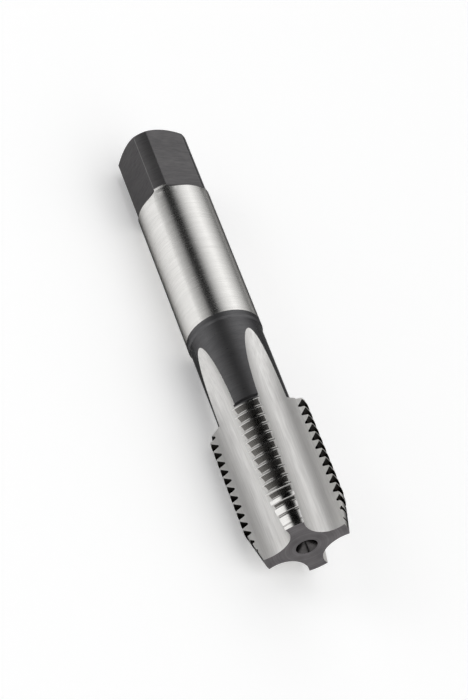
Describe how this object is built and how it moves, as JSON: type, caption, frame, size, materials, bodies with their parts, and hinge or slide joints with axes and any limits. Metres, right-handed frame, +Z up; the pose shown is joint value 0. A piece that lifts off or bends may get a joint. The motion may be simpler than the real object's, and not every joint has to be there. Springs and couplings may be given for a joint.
{
  "type": "hand tap",
  "caption": "Straight fluted hand tap for pipe thread, with a chamfered threaded end, a plain round shank and a square drive end.",
  "frame": {"origin": "middle of the tap, on the surface that it lies on", "axes": "+X towards the cutting end, +Z up; the tap's own axis leans 1.2 degrees, with the cutting end up"},
  "size_m": [0.0672, 0.0116, 0.0118],
  "materials": {
    "tool_steel": "ground bright on the shank, the thread and in the flutes, black oxide on the neck, the square and both end faces"
  },
  "bodies": {
    "root": {"hand_tap": "tool_steel"}
  },
  "joints": []
}
